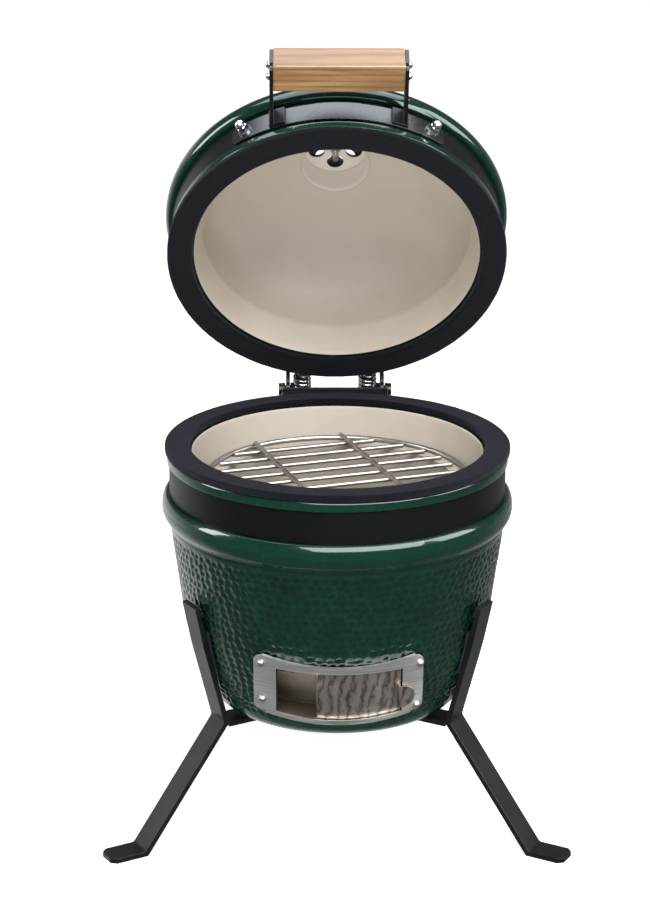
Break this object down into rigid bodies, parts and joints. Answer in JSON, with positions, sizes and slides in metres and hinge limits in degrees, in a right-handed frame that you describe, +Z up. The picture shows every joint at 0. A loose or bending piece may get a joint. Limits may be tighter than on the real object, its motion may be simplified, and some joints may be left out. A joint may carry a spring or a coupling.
{
  "type": "ceramic kamado charcoal grill",
  "caption": "Small egg-shaped ceramic charcoal grill with a sprung hinged dome, draft door, chimney damper, wire grate and a three-legged flat-bar stand.",
  "frame": {"origin": "on the floor, under the middle of the whole object with its lid open", "axes": "+Z up, +Y to the back where the hinge is, +X to the right seen from the front"},
  "size_m": [0.4474, 0.4328, 0.7496],
  "materials": {
    "glaze": "gloss glaze over a dimpled body, cream unglazed inside",
    "felt": "pressed felt",
    "black_band": "satin black",
    "black_steel": "satin black powder coat",
    "fire_ceramic": "unglazed fire clay",
    "cast_iron": "as cast",
    "stainless": "brushed",
    "grate_wire": "bright wire",
    "bright_fasteners": "bright",
    "dark_fasteners": "zinc plated",
    "spring_steel": "bright spring wire",
    "maple": "clear-coated, fine grain",
    "damper_iron": "satin black enamel",
    "dial_steel": "polished bezel",
    "dial_white": "matt white",
    "needle_red": "satin",
    "glass": "clear"
  },
  "bodies": {
    "base": {"stand_hub": "black_steel", "leg_front_left": "black_steel", "leg_front_right": "black_steel", "leg_rear": "black_steel", "support_pads": "felt", "strap_pads": "felt", "base_shell": "glaze", "base_gasket": "felt", "base_band": "black_band", "fire_bowl": "fire_ceramic", "fire_grate": "cast_iron", "draft_frame": "stainless", "draft_frame_screws": "bright_fasteners", "hinge_base_bracket": "black_steel", "base_bracket_bolts": "dark_fasteners", "base_bracket_nuts": "dark_fasteners", "hinge_pivot_bolts": "dark_fasteners", "hinge_pivot_nuts": "dark_fasteners", "spring_pin_lower": "dark_fasteners", "spring_left": "spring_steel", "spring_right": "spring_steel"},
    "lid": {"lid_shell": "glaze", "lid_gasket": "felt", "lid_band": "black_band", "hinge_lid_bracket": "black_steel", "lid_bracket_bolts": "dark_fasteners", "lid_bracket_nuts": "dark_fasteners", "spring_pin_upper": "dark_fasteners", "handle_plate": "black_steel", "clamp_bolts": "dark_fasteners", "clamp_washers": "bright_fasteners", "clamp_nuts": "bright_fasteners", "handle_bracket_left": "black_steel", "handle_bracket_right": "black_steel", "handle_grip": "maple", "handle_screws": "dark_fasteners", "vent_base": "damper_iron", "vent_bolt": "dark_fasteners", "vent_nut": "dark_fasteners", "thermometer_case": "dial_steel", "thermometer_dial": "dial_white", "thermometer_glass": "glass", "thermometer_nut": "dark_fasteners"},
    "draft_slider": {"draft_door": "stainless"},
    "grate": {"cooking_grate": "grate_wire"},
    "damper_wheel": {"vent_wheel": "damper_iron"},
    "needle": {"thermometer_needle": "needle_red"}
  },
  "joints": [
    {"name": "lid_hinge", "type": "hinge", "parent": "base", "child": "lid", "pos_m": [0, 0.1333, 0.3772], "axis": [-1, 0, 0], "range_deg": [-59.8, 0], "stiffness_Nm_per_rad": 5, "springref_deg": 42.97, "deforming": ["spring_left", "spring_right"]},
    {"name": "draft_door_slide", "type": "hinge", "parent": "base", "child": "draft_slider", "pos_m": [0, -0.0472, 0.1687], "axis": [0, 0, 1], "range_deg": [-13.5, 0]},
    {"name": "grate_lift", "type": "slide", "parent": "base", "child": "grate", "axis": [0, 0, 1], "range_m": [0, 0.06]},
    {"name": "vent_wheel_turn", "type": "hinge", "parent": "lid", "child": "damper_wheel", "pos_m": [0, 0.0438, 0.53396], "axis": [0, 0.8643, 0.503], "continuous": true},
    {"name": "needle_turn", "type": "hinge", "parent": "lid", "child": "needle", "pos_m": [0, 0.02764, 0.52455], "axis": [0, -0.1857, -0.9826], "range_deg": [0, 260]}
  ]
}
